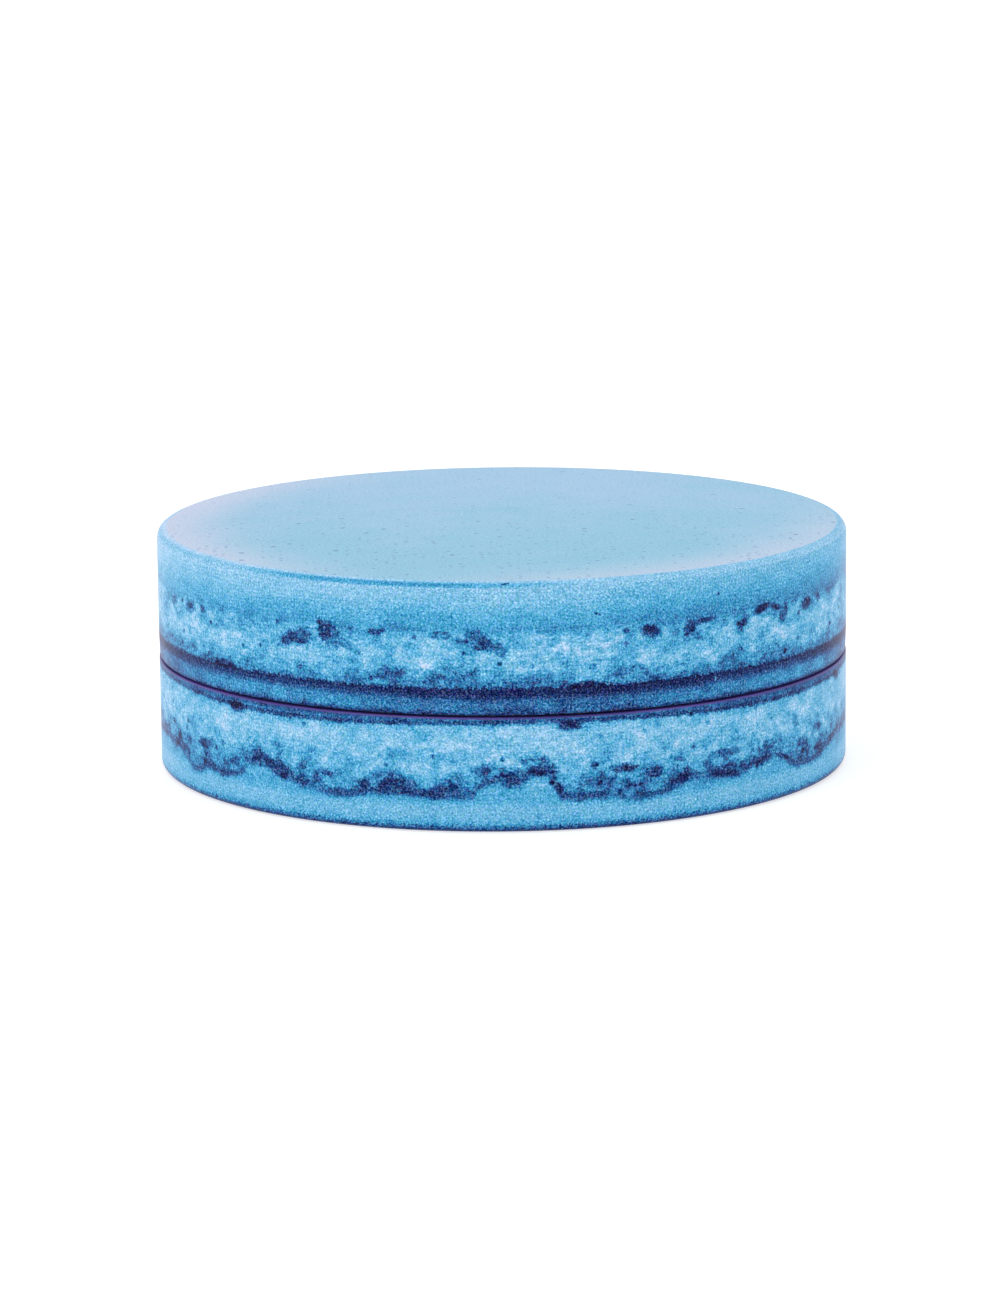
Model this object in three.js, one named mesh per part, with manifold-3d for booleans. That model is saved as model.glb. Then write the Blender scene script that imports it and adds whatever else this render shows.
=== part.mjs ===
// A pocket pill crusher: a short round drum in two halves that part at one seam.
// Each half is a printed casing with a toothed plate pressed into it. The plates face each other, and their
// teeth stand in rings that pass between one another. Magnets in the middle of the plates hold the halves shut.
// The upper plate's neck reaches down into the lower casing and turns there in a plastic slip ring.
// Millimetres, +Z up, origin at the middle of the underside.
import * as THREE from "three";
import { mergeVertices } from "three/addons/utils/BufferGeometryUtils.js";
import Module from "manifold-3d";

// Driving dimensions of the drum.
const OUTER_R = 25; // outside radius of both casings
const HEIGHT = 17.4; // closed height
const SEAM_Z = 8.05; // top of the lower casing's lip
const SEAM_GAP = 0.15; // open slit between the two casings
const TOP_EDGE_R = 0.7; // rounded outer edge of the top
const FOOT_EDGE_R = 0.5; // rounded outer edge of the underside
const LIP_CHAMFER = 0.1; // chamfer on the edges of both lips that meet at the seam

// Casings.
const WALL = 2; // casing wall, and the thickness of its floor or top
const PRESS_GAP = 0.07; // radial room between a casing's bore and the plate pressed into it
const SEAT_DEPTH = 2.45; // how far below the lip the slip ring's ledge lies
const LEDGE = 0.4; // width of that ledge
const BORE_R = OUTER_R - WALL;
const LOWER_BORE_R = BORE_R - LEDGE;
const UPPER_RIM_Z = SEAM_Z + SEAM_GAP;
const LEDGE_Z = SEAM_Z - SEAT_DEPTH;

// Tooth plates.
const PLATE = 1.75; // thickness of each plate
const FACE_GAP = 0.05; // room behind each plate and each magnet
const LOWER_FACE_Z = WALL + FACE_GAP + PLATE; // the face that the lower teeth stand on
const UPPER_FACE_Z = HEIGHT - WALL - FACE_GAP - PLATE; // the face that the upper teeth hang from
const NECK_R = 22.2; // outside radius of the upper plate's neck below the seam
const NECK_BORE_R = 20.6; // inside radius of the neck: the wall of the crushing chamber
const NECK_END_Z = 5; // lower end of the neck
const BEAD = 0.25; // bead at the neck's end that keeps the slip ring on
const BEAD_HEIGHT = 0.45;
const NECK_CHAMFER = 0.15;

// Magnets and the posts that hold them.
const MAGNET_R = 4;
const MAGNET_HEIGHT = 2;
const MAGNET_CHAMFER = 0.2;
const POCKET_R = MAGNET_R + 0.07;
const POST_R = 5.2;
const POST_CHAMFER = 0.35;
const LOWER_POST_Z = 8.3; // top of the lower post
const UPPER_POST_Z = 8.9; // lower end of the upper post

// Teeth: a diamond-shaped head on a round shank, pressed into a hole through the plate.
const TOOTH_LENGTH = 7.4; // from the plate's face to the tip
const SHOULDER_AT = 5.3; // where the head's sides turn in towards the tip
const HALF_ALONG = 1.9; // half of the head's longer diagonal, along the direction of turning
const HALF_ACROSS = 1.4; // half of its shorter diagonal, pointing to the axis
const SHOULDER_SHARE = 0.8; // size of the section at the shoulder, as a share of the root's
const TIP_SHARE = 0.2; // size of the flat tip
const SHANK_R = 1;
const HOLE_R = SHANK_R + 0.05;
const TOOTH_GAP = 0.02; // room between a head and its plate
const SHANK_OVERLAP = 0.5; // how far the shank runs up into the head

// Each ring of teeth: its radius, how many teeth it has and the angle of its first tooth, in degrees.
// No ring has a tooth on the +X, -X, +Y or -Y ray, so four straight lanes run out from the posts at rest.
const UPPER_RINGS = [
  { name: "upper_inner_tooth", radius: 8, angles: evenAngles(4, 45) },
  { name: "upper_outer_tooth", radius: 15.2, angles: lanedAngles(2, 33) },
];
const LOWER_RINGS = [
  { name: "lower_inner_tooth", radius: 11.6, angles: lanedAngles(2, 30) },
  { name: "lower_outer_tooth", radius: 18.8, angles: lanedAngles(3, 25) },
];

// Slip ring: a split band around the neck.
const RING_IN_R = NECK_R + 0.05;
const RING_OUT_R = BORE_R - 0.07;
const RING_CLEARANCE = 0.05; // above and below the ring
const RING_SLIT = 1.4; // width of its slit

// Facets.
const ROUND = 64; // segments of a full turn on the drum
const SMALL_ROUND = 32; // segments of a full turn on a magnet
const SHANK_ROUND = 12;
const EDGE_STEPS = 4; // steps around a rounded edge

const PRINT = new THREE.MeshStandardMaterial({ color: 0x6fb6dd, roughness: 0.5, metalness: 0 });
const ZINC = new THREE.MeshStandardMaterial({ color: 0xa9adb3, roughness: 0.35, metalness: 1 });
const STEEL = new THREE.MeshStandardMaterial({ color: 0xc3c6ca, roughness: 0.25, metalness: 1 });
const NICKEL = new THREE.MeshStandardMaterial({ color: 0xd5d3cc, roughness: 0.15, metalness: 1 });
const PTFE = new THREE.MeshStandardMaterial({ color: 0xf1f1ec, roughness: 0.55, metalness: 0 });

// Angles of a number of teeth spaced evenly round a full turn.
function evenAngles(count, first) {
  return Array.from({ length: count }, (_, i) => first + (360 / count) * i);
}

// Angles of teeth in four equal groups, each group centred between two lanes.
function lanedAngles(perGroup, step) {
  const angles = [];
  for (let group = 0; group < 4; group++)
    for (let i = 0; i < perGroup; i++)
      angles.push(group * 90 + 45 + (i - (perGroup - 1) / 2) * step);
  return angles;
}

// Points of a quarter circle in a lathe profile, from one angle to another, in degrees.
function arc(centreR, centreZ, radius, from, to) {
  const points = [];
  for (let i = 0; i <= EDGE_STEPS; i++) {
    const a = THREE.MathUtils.degToRad(from + ((to - from) * i) / EDGE_STEPS);
    points.push([centreR + radius * Math.cos(a), centreZ + radius * Math.sin(a)]);
  }
  return points;
}

// A solid of revolution about Z from [radius, height] points, which run with the material on their left.
function turned(profile, segments = ROUND) {
  const points = profile.map(([r, z]) => new THREE.Vector2(r, z));
  return new THREE.LatheGeometry(points, segments).rotateX(Math.PI / 2);
}

const wasm = await Module();
wasm.setup();

// A closed geometry as a manifold-3d solid.
function solid(geometry) {
  const bare = geometry.clone();
  bare.deleteAttribute("normal");
  bare.deleteAttribute("uv");
  const merged = mergeVertices(bare, 1e-4);
  return new wasm.Manifold(
    new wasm.Mesh({
      numProp: 3,
      vertProperties: new Float32Array(merged.attributes.position.array),
      triVerts: new Uint32Array(merged.index.array),
    }),
  );
}

// A manifold-3d solid as a geometry.
function geometryOf(made) {
  const mesh = made.getMesh();
  const geometry = new THREE.BufferGeometry();
  geometry.setAttribute("position", new THREE.BufferAttribute(mesh.vertProperties, 3));
  geometry.setIndex(new THREE.BufferAttribute(mesh.triVerts, 1));
  geometry.computeVertexNormals();
  return geometry;
}

// A cylinder along Z between two heights.
function rod(radius, from, to, segments) {
  return new THREE.CylinderGeometry(radius, radius, to - from, segments)
    .rotateX(Math.PI / 2)
    .translate(0, 0, (from + to) / 2);
}

// Lower casing: a printed cup, with a ledge in its wall for the slip ring.
function lowerCasing() {
  return turned([
    [0, 0],
    ...arc(OUTER_R - FOOT_EDGE_R, FOOT_EDGE_R, FOOT_EDGE_R, -90, 0),
    [OUTER_R, SEAM_Z - LIP_CHAMFER],
    [OUTER_R - LIP_CHAMFER, SEAM_Z],
    [BORE_R + LIP_CHAMFER, SEAM_Z],
    [BORE_R, SEAM_Z - LIP_CHAMFER],
    [BORE_R, LEDGE_Z],
    [LOWER_BORE_R, LEDGE_Z],
    [LOWER_BORE_R, WALL],
    [0, WALL],
  ]);
}

// Upper casing: a printed cup that opens downwards.
function upperCasing() {
  return turned([
    [0, HEIGHT - WALL],
    [BORE_R, HEIGHT - WALL],
    [BORE_R, UPPER_RIM_Z + LIP_CHAMFER],
    [BORE_R + LIP_CHAMFER, UPPER_RIM_Z],
    [OUTER_R - LIP_CHAMFER, UPPER_RIM_Z],
    [OUTER_R, UPPER_RIM_Z + LIP_CHAMFER],
    ...arc(OUTER_R - TOP_EDGE_R, HEIGHT - TOP_EDGE_R, TOP_EDGE_R, 0, 90),
    [0, HEIGHT],
  ]);
}

// Lower tooth plate: a disc with a post for the magnet.
function lowerPlateBlank() {
  const rim = LOWER_BORE_R - PRESS_GAP;
  const back = WALL + FACE_GAP;
  return turned([
    [0, back],
    [rim, back],
    [rim, LOWER_FACE_Z],
    [POST_R + POST_CHAMFER, LOWER_FACE_Z],
    [POST_R, LOWER_FACE_Z + POST_CHAMFER],
    [POST_R, LOWER_POST_Z - POST_CHAMFER],
    [POST_R - POST_CHAMFER, LOWER_POST_Z],
    [POCKET_R, LOWER_POST_Z],
    [POCKET_R, LOWER_POST_Z - MAGNET_HEIGHT - 2 * FACE_GAP],
    [0, LOWER_POST_Z - MAGNET_HEIGHT - 2 * FACE_GAP],
  ]);
}

// Upper tooth plate: a disc with a post for the magnet and a neck that reaches below the seam.
function upperPlateBlank() {
  const rim = BORE_R - PRESS_GAP;
  const back = UPPER_FACE_Z + PLATE;
  return turned([
    [0, UPPER_POST_Z + MAGNET_HEIGHT + 2 * FACE_GAP],
    [POCKET_R, UPPER_POST_Z + MAGNET_HEIGHT + 2 * FACE_GAP],
    [POCKET_R, UPPER_POST_Z],
    [POST_R - POST_CHAMFER, UPPER_POST_Z],
    [POST_R, UPPER_POST_Z + POST_CHAMFER],
    [POST_R, UPPER_FACE_Z - POST_CHAMFER],
    [POST_R + POST_CHAMFER, UPPER_FACE_Z],
    [NECK_BORE_R - POST_CHAMFER, UPPER_FACE_Z],
    [NECK_BORE_R, UPPER_FACE_Z - POST_CHAMFER],
    [NECK_BORE_R, NECK_END_Z + NECK_CHAMFER],
    [NECK_BORE_R + NECK_CHAMFER, NECK_END_Z],
    [NECK_R + BEAD - NECK_CHAMFER, NECK_END_Z],
    [NECK_R + BEAD, NECK_END_Z + NECK_CHAMFER],
    [NECK_R + BEAD, NECK_END_Z + BEAD_HEIGHT - NECK_CHAMFER],
    [NECK_R, NECK_END_Z + BEAD_HEIGHT],
    [NECK_R, UPPER_RIM_Z],
    [rim, UPPER_RIM_Z],
    [rim, back],
    [0, back],
  ]);
}

// A tooth standing on z = 0 with its shank below, its longer diagonal along Y.
function toothGeometry() {
  const rows = [
    { z: 0, share: 1 },
    { z: SHOULDER_AT, share: SHOULDER_SHARE },
    { z: TOOTH_LENGTH, share: TIP_SHARE },
  ];
  const positions = [];
  for (const { z, share } of rows)
    for (const [x, y] of [[1, 0], [0, 1], [-1, 0], [0, -1]])
      positions.push(x * HALF_ACROSS * share, y * HALF_ALONG * share, z);
  const index = [0, 2, 1, 0, 3, 2];
  for (let row = 0; row < rows.length - 1; row++)
    for (let i = 0; i < 4; i++) {
      const a = row * 4 + i;
      const b = row * 4 + ((i + 1) % 4);
      index.push(a, b, b + 4, a, b + 4, a + 4);
    }
  const top = (rows.length - 1) * 4;
  index.push(top, top + 1, top + 2, top, top + 2, top + 3);
  const head = new THREE.BufferGeometry();
  head.setAttribute("position", new THREE.Float32BufferAttribute(positions, 3));
  head.setIndex(index);
  const shank = rod(SHANK_R, -PLATE, SHANK_OVERLAP, SHANK_ROUND);
  return geometryOf(solid(head).add(solid(shank)));
}

// The holes of a ring of teeth, each turned as its shank is.
function drill(blank, rings, from, to) {
  let plate = solid(blank);
  for (const ring of rings)
    for (const angle of ring.angles) {
      const hole = rod(HOLE_R, from, to, SHANK_ROUND)
        .translate(ring.radius, 0, 0)
        .rotateZ(THREE.MathUtils.degToRad(angle));
      plate = plate.subtract(solid(hole));
    }
  return geometryOf(plate);
}

// A split band: an extruded ring with a slit.
function slipRing() {
  const half = RING_SLIT / 2 / RING_OUT_R;
  const shape = new THREE.Shape();
  shape.absarc(0, 0, RING_OUT_R, half, 2 * Math.PI - half, false);
  shape.absarc(0, 0, RING_IN_R, 2 * Math.PI - half, half, true);
  const depth = SEAT_DEPTH + SEAM_GAP - 2 * RING_CLEARANCE;
  return new THREE.ExtrudeGeometry(shape, {
    depth,
    bevelEnabled: false,
    curveSegments: ROUND,
  }).translate(0, 0, LEDGE_Z + RING_CLEARANCE);
}

// A disc magnet with chamfered edges, resting on z = 0.
function magnet() {
  return turned(
    [
      [0, 0],
      [MAGNET_R - MAGNET_CHAMFER, 0],
      [MAGNET_R, MAGNET_CHAMFER],
      [MAGNET_R, MAGNET_HEIGHT - MAGNET_CHAMFER],
      [MAGNET_R - MAGNET_CHAMFER, MAGNET_HEIGHT],
      [0, MAGNET_HEIGHT],
    ],
    SMALL_ROUND,
  );
}

function piece(name, geometry, material) {
  const mesh = new THREE.Mesh(geometry, material);
  mesh.name = name;
  return mesh;
}

// The teeth of some rings, each a mesh of its own, standing on the lower plate or hanging from the upper one.
function teeth(rings, geometry, faceZ, hanging) {
  const group = new THREE.Group();
  for (const ring of rings)
    ring.angles.forEach((angle, i) => {
      const turn = new THREE.Group();
      turn.rotation.z = THREE.MathUtils.degToRad(angle);
      const tooth = piece(`${ring.name}_${i + 1}`, geometry, STEEL);
      tooth.position.set(ring.radius, 0, faceZ + (hanging ? -TOOTH_GAP : TOOTH_GAP));
      if (hanging) tooth.rotation.x = Math.PI;
      turn.add(tooth);
      group.add(turn);
    });
  return group;
}

const tooth = toothGeometry();
const lowerPlate = drill(lowerPlateBlank(), LOWER_RINGS, WALL - 1, LOWER_FACE_Z + 1);
const upperPlate = drill(upperPlateBlank(), UPPER_RINGS, UPPER_FACE_Z - 1, UPPER_FACE_Z + PLATE + 1);

const lowerMagnet = piece("lower_magnet", magnet(), NICKEL);
lowerMagnet.position.z = LOWER_POST_Z - MAGNET_HEIGHT - FACE_GAP;
const upperMagnet = piece("upper_magnet", magnet(), NICKEL);
upperMagnet.position.z = UPPER_POST_Z + FACE_GAP;

const base = new THREE.Group();
base.add(
  piece("lower_casing", lowerCasing(), PRINT),
  piece("lower_tooth_plate", lowerPlate, ZINC),
  lowerMagnet,
  teeth(LOWER_RINGS, tooth, LOWER_FACE_Z, false),
);

const lid = new THREE.Group();
lid.add(
  piece("upper_casing", upperCasing(), PRINT),
  piece("upper_tooth_plate", upperPlate, ZINC),
  upperMagnet,
  teeth(UPPER_RINGS, tooth, UPPER_FACE_Z, true),
);

const crusher = new THREE.Group();
crusher.add(base, piece("slip_ring", slipRing(), PTFE), lid);

export default crusher;
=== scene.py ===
"""Looks of a pocket pill crusher: a short drum in two printed halves with toothed plates inside.

Sizes in the classes are in millimetres, as a drawing has them, and every mesh is made in metres.
Heights are measured up from the underside, and angles round the drum from the front, in degrees,
growing to the right.
"""
import logging
import math
from collections.abc import Iterable, Mapping, Sequence
from dataclasses import dataclass
from enum import Enum
from typing import Union

import bpy
from mathutils import Matrix, Vector


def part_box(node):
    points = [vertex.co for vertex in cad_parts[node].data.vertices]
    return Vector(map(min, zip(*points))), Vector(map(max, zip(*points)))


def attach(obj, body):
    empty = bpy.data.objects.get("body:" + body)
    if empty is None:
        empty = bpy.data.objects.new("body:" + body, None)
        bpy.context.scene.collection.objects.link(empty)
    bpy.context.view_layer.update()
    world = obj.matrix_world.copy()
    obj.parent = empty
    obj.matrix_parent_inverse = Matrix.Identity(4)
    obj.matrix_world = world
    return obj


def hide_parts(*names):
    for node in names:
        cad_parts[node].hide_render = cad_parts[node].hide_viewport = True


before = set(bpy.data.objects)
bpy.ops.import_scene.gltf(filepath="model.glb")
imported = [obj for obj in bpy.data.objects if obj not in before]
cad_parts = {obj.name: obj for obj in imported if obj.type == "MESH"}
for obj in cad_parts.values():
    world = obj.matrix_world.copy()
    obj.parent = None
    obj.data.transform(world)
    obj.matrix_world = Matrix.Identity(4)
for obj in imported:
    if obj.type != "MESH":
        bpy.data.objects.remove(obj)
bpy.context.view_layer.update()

LOG = logging.getLogger("pill_crusher")
MM = 0.001
TURN = 2 * math.pi

Point = tuple[float, float]
Colour = tuple[float, float, float]
Socket = bpy.types.NodeSocket
Sockets = Mapping[str, Socket]
Tree = bpy.types.NodeTree
Piece = bpy.types.Object
Feed = Union[Socket, float, int, bool, Sequence[float], str]


class Body(Enum):
    """The moving bodies of the crusher."""

    BASE = "base"
    RING = "ring"
    LID = "lid"


class Slot(Enum):
    """The record's material slots."""

    PRINT = "printed_casing"
    PLATE = "cast_plate"
    TOOTH = "tooth"
    MAGNET = "magnet"
    RING = "slip_ring"


class Kind(Enum):
    """The socket types that the groups and trees use."""

    FLOAT = "NodeSocketFloat"
    INTEGER = "NodeSocketInt"
    VECTOR = "NodeSocketVector"
    COLOUR = "NodeSocketColor"
    MATERIAL = "NodeSocketMaterial"
    OBJECT = "NodeSocketObject"
    GEOMETRY = "NodeSocketGeometry"


class Drum:
    """Sizes of the closed drum, taken from the frame, in millimetres."""

    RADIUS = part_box("upper_casing")[1].x / MM
    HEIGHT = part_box("upper_casing")[1].z / MM
    LID_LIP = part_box("upper_casing")[0].z / MM
    BASE_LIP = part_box("lower_casing")[1].z / MM


def shade(red: int, green: int, blue: int) -> Colour:
    """A display colour as shares from 0 to 1, for prints that are mixed as they look."""
    return tuple(value / 255 for value in (red, green, blue))


def ink(red: int, green: int, blue: int) -> Colour:
    """A display colour in linear light, from 0 to 1."""
    return tuple(s / 12.92 if s <= 0.04045 else ((s + 0.055) / 1.055) ** 2.4 for s in shade(red, green, blue))


def floats(*names: str) -> dict[str, Kind]:
    """Plain number sockets with these names."""
    return dict.fromkeys(names, Kind.FLOAT)


def put(name: str, data: bpy.types.ID) -> Piece:
    """Puts a new object in the scene.

    Args:
        name: Its name.
        data: Its mesh, light or camera.

    Returns:
        The object.
    """
    made = bpy.data.objects.new(name, data)
    bpy.context.scene.collection.objects.link(made)
    return made


# ---------------------------------------------------------------- node trees


class Graph:
    """A node tree with short ways to add nodes and join them."""

    def __init__(self, tree: Tree) -> None:
        """Wraps a tree."""
        self.tree = tree

    def feed(self, socket: Socket, value: Feed) -> None:
        """Joins a socket to another one, or sets its own value.

        Args:
            socket: The input to feed.
            value: The output to join to it, or a plain value.
        """
        if isinstance(value, bpy.types.NodeSocket):
            self.tree.links.new(value, socket)
        elif socket.type == "RGBA" and len(value) == 3:
            socket.default_value = (*value, 1.0)
        else:
            socket.default_value = value

    def add(self, kind: str, inputs: dict | None = None, **settings: object) -> bpy.types.Node:
        """Adds a node.

        Args:
            kind: The node's type name.
            inputs: What feeds each input, by the input's name or number.
            **settings: The node's own settings.

        Returns:
            The new node.
        """
        node = self.tree.nodes.new(kind)
        for name, value in settings.items():
            setattr(node, name, value)
        for key, value in (inputs or {}).items():
            self.feed(node.inputs[key], value)
        return node

    def find(self, kind: str) -> bpy.types.Node:
        """The first node of a type."""
        return next(node for node in self.tree.nodes if node.type == kind)

    def use(self, group: Tree, **inputs: Feed) -> Sockets:
        """Places a shader group.

        Args:
            group: The group's tree.
            **inputs: What feeds its inputs, with an underscore for each space in a name.

        Returns:
            What the group puts out, by name.
        """
        named = {key.replace("_", " "): value for key, value in inputs.items()}
        return self.add("ShaderNodeGroup", named, node_tree=group).outputs

    def math(self, operation: str, *values: Feed) -> Socket:
        """The result of a Math node."""
        return self.add("ShaderNodeMath", dict(enumerate(values)), operation=operation).outputs[0]

    def plus(self, first: Feed, second: Feed) -> Socket:
        """The sum of two values."""
        return self.math("ADD", first, second)

    def minus(self, first: Feed, second: Feed) -> Socket:
        """The first value less the second."""
        return self.math("SUBTRACT", first, second)

    def times(self, first: Feed, second: Feed) -> Socket:
        """The product of two values."""
        return self.math("MULTIPLY", first, second)

    def over(self, first: Feed, second: Feed) -> Socket:
        """The first value divided by the second."""
        return self.math("DIVIDE", first, second)

    def mul_add(self, value: Feed, factor: Feed, offset: Feed) -> Socket:
        """The value times a factor, plus an offset."""
        return self.math("MULTIPLY_ADD", value, factor, offset)

    def vector(self, operation: str, *values: Feed) -> Socket:
        """The result of a Vector Math node, a length as a plain value."""
        outputs = self.add("ShaderNodeVectorMath", dict(enumerate(values)), operation=operation).outputs
        return outputs["Value" if operation == "LENGTH" else "Vector"]

    def scaled(self, vector: Socket, factor: Feed) -> Socket:
        """A vector times a plain factor."""
        return self.add("ShaderNodeVectorMath", {0: vector, "Scale": factor}, operation="SCALE").outputs[0]

    def combine(self, x: Feed = 0.0, y: Feed = 0.0, z: Feed = 0.0) -> Socket:
        """A vector made of three values."""
        return self.add("ShaderNodeCombineXYZ", {0: x, 1: y, 2: z}).outputs[0]

    def split(self, vector: Socket) -> Sequence[Socket]:
        """A vector's three values."""
        return self.add("ShaderNodeSeparateXYZ", {0: vector}).outputs

    def smooth(self, value: Feed, low: Feed, high: Feed) -> Socket:
        """A soft step from 0 at low to 1 at high."""
        inputs = {"Value": value, "From Min": low, "From Max": high}
        return self.add("ShaderNodeMapRange", inputs, interpolation_type="SMOOTHSTEP").outputs["Result"]

    def band(self, value: Feed, rise: Point, fall: Point) -> Socket:
        """One between two soft steps, and 0 outside them."""
        return self.times(self.smooth(value, *rise), self.smooth(value, *fall))

    def spread(self, value: Feed, low: float, high: float, to: Point = (0.0, 1.0)) -> Socket:
        """The value carried from one range to another, and held inside it."""
        inputs = {"Value": value, "From Min": low, "From Max": high, "To Min": to[0], "To Max": to[1]}
        return self.add("ShaderNodeMapRange", inputs).outputs["Result"]

    def noise(self, vector: Feed, scale: Feed, detail: float = 2.0, roughness: float = 0.5) -> Socket:
        """Soft noise about 0.5, with this many features in each unit of the vector."""
        inputs = {"Vector": vector, "Scale": scale, "Detail": detail, "Roughness": roughness}
        return self.add("ShaderNodeTexNoise", inputs).outputs[0]

    def mix(self, share: Feed, first: Feed, second: Feed) -> Socket:
        """Two colours mixed by a share of the second one."""
        return self.add("ShaderNodeMix", {0: share, 6: first, 7: second}, data_type="RGBA").outputs[2]

    def ramp(self, value: Feed, stops: Sequence[tuple[float, Colour]]) -> Socket:
        """The colour that a ramp gives for a value.

        Args:
            value: The value to look up.
            stops: Places from 0 to 1 with their colours.

        Returns:
            The colour.
        """
        node = self.add("ShaderNodeValToRGB", {0: value})
        elements = node.color_ramp.elements
        while len(elements) < len(stops):
            elements.new(0.5)
        for element, (place, colour) in zip(elements, stops):
            element.position = place
            element.color = (*colour, 1.0)
        return node.outputs[0]

    def curve(self, value: Feed, points: Sequence[Point], top: float = 1.0) -> Socket:
        """Looks a value up on a soft curve through points.

        Args:
            value: The value to look up.
            points: The curve's points, from left to right.
            top: The highest value that the curve may have.

        Returns:
            The curve's value there.
        """
        left, right = points[0][0], points[-1][0]
        node = self.add("ShaderNodeFloatCurve", {"Value": self.spread(value, left, right)})
        line = node.mapping.curves[0].points
        while len(line) < len(points):
            line.new(0.5, 0.5)
        for bend, (at, up) in zip(line, points):
            bend.location = ((at - left) / (right - left), up / top)
            bend.handle_type = "AUTO_CLAMPED"
        node.mapping.update()
        return self.times(node.outputs[0], top)


def new_tree(
    name: str, inputs: dict[str, Kind], outputs: dict[str, Kind], tree_type: str = "ShaderNodeTree"
) -> tuple[Graph, Sockets, Sockets]:
    """Makes a node group with named sockets.

    Args:
        name: The group's name.
        inputs: The inputs' names and types.
        outputs: The outputs' names and types.
        tree_type: A shader tree or a geometry tree.

    Returns:
        The tree as a graph, what it is given and what it puts out.
    """
    tree = bpy.data.node_groups.new(name, tree_type)
    for sockets, side in ((inputs, "INPUT"), (outputs, "OUTPUT")):
        for label, kind in sockets.items():
            tree.interface.new_socket(name=label, in_out=side, socket_type=kind.value)
    graph = Graph(tree)
    return graph, graph.add("NodeGroupInput").outputs, graph.add("NodeGroupOutput").inputs


class Effects:
    """Shader groups that the finishes share, each built once."""

    def __init__(self) -> None:
        """Builds the groups."""
        self.place = self._place()
        self.clouds = self._clouds()
        self.pit = self._pit()
        self.specks = self._specks()
        self.stipple = self._stipple()
        self.weave = self._weave()
        self.turning = self._turning(self.place)

    @staticmethod
    def _place() -> Tree:
        """Where a point lies on the drum, in degrees and millimetres.

        The picture goes round the drum twice, so an angle is carried into the half turn about the front.

        Returns:
            The group.
        """
        outputs = {"Point": Kind.VECTOR, **floats("Angle", "Height", "Radius")}
        graph, _, out = new_tree("drum_place", {}, outputs)
        point = graph.scaled(graph.add("ShaderNodeTexCoord").outputs["Object"], 1 / MM)
        x, y, z = graph.split(point)
        degrees = graph.math("DEGREES", graph.math("ARCTAN2", x, graph.times(y, -1.0)))
        graph.feed(out["Angle"], graph.math("WRAP", degrees, 90.0, -90.0))
        graph.feed(out["Height"], z)
        graph.feed(out["Point"], point)
        graph.feed(out["Radius"], graph.vector("LENGTH", graph.combine(x, y)))
        return graph.tree

    @staticmethod
    def _clouds() -> Tree:
        """Two sizes of soft cloud, drawn out sideways.

        Returns:
            The group.
        """
        inputs = {"Point": Kind.VECTOR, **floats("Scale", "Flatten", "Fine Share")}
        graph, given, out = new_tree("clouds", inputs, floats("Value"))
        point = graph.vector("MULTIPLY", given["Point"], graph.combine(1.0, 1.0, given["Flatten"]))
        broad = graph.noise(point, given["Scale"], detail=3.0, roughness=0.6)
        fine = graph.noise(point, graph.times(given["Scale"], 3.4), detail=3.0, roughness=0.65)
        graph.feed(out["Value"], graph.mul_add(graph.minus(fine, broad), given["Fine Share"], broad))
        return graph.tree

    @staticmethod
    def _pit() -> Tree:
        """One ragged oval pit at a place on the side.

        Returns:
            The group.
        """
        names = ("Angle", "Height", "At", "Up", "Wide", "Tall", "Lean", "Ragged")
        graph, given, out = new_tree("pit", floats(*names), floats("Mask"))
        degree = math.radians(1) * Drum.RADIUS
        across = graph.times(graph.minus(given["Angle"], given["At"]), degree)
        rise = graph.minus(given["Height"], given["Up"])
        upright = graph.minus(rise, graph.times(across, given["Lean"]))
        oval = graph.combine(graph.over(across, given["Wide"]), graph.over(upright, given["Tall"]))
        reach = graph.plus(graph.vector("LENGTH", oval), given["Ragged"])
        outer, inner = 1.42, 0.6
        graph.feed(out["Mask"], graph.smooth(reach, outer, inner))
        return graph.tree

    @staticmethod
    def _specks() -> Tree:
        """Small round dots strewn at random, each of its own strength.

        Returns:
            The group.
        """
        inputs = {"Point": Kind.VECTOR, **floats("Scale", "Size", "Share")}
        graph, given, out = new_tree("specks", inputs, floats("Mask"))
        placed = {"Vector": given["Point"], "Scale": given["Scale"]}
        cells = graph.add("ShaderNodeTexVoronoi", placed).outputs
        dot = graph.smooth(cells["Distance"], given["Size"], graph.times(given["Size"], 0.35))
        lot = graph.add("ShaderNodeSeparateColor", {0: cells["Color"]}).outputs[0]
        barred = graph.minus(1.0, given["Share"])
        chosen = graph.smooth(lot, barred, graph.plus(barred, 0.25))
        graph.feed(out["Mask"], graph.times(dot, chosen))
        return graph.tree

    @staticmethod
    def _stipple() -> Tree:
        """The print's grain, laid on a display colour, which comes out as linear light.

        Returns:
            The group.
        """
        inputs = {"Colour": Kind.COLOUR, "Point": Kind.VECTOR, **floats("Grain", "Depth")}
        graph, given, out = new_tree("stipple", inputs, {"Colour": Kind.COLOUR, **floats("Value")})
        fine = {"Vector": given["Point"], "Scale": given["Grain"], "Detail": 1.5, "Roughness": 0.7}
        dots = graph.add("ShaderNodeTexNoise", fine).outputs
        swing = graph.minus(dots[0], 0.5)
        tint = graph.vector("SUBTRACT", dots[1], (0.5, 0.5, 0.5))
        both = graph.vector("MULTIPLY_ADD", tint, (0.45, 0.35, 0.45), graph.combine(swing, swing, swing))
        dotted = graph.vector("ADD", given["Colour"], graph.scaled(both, given["Depth"]))
        held = graph.vector("MAXIMUM", dotted, (0.0, 0.0, 0.0))
        linear = graph.add("ShaderNodeGamma", {"Color": held, "Gamma": 2.2})
        graph.feed(out["Colour"], linear.outputs[0])
        graph.feed(out["Value"], dots[0])
        return graph.tree

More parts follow.
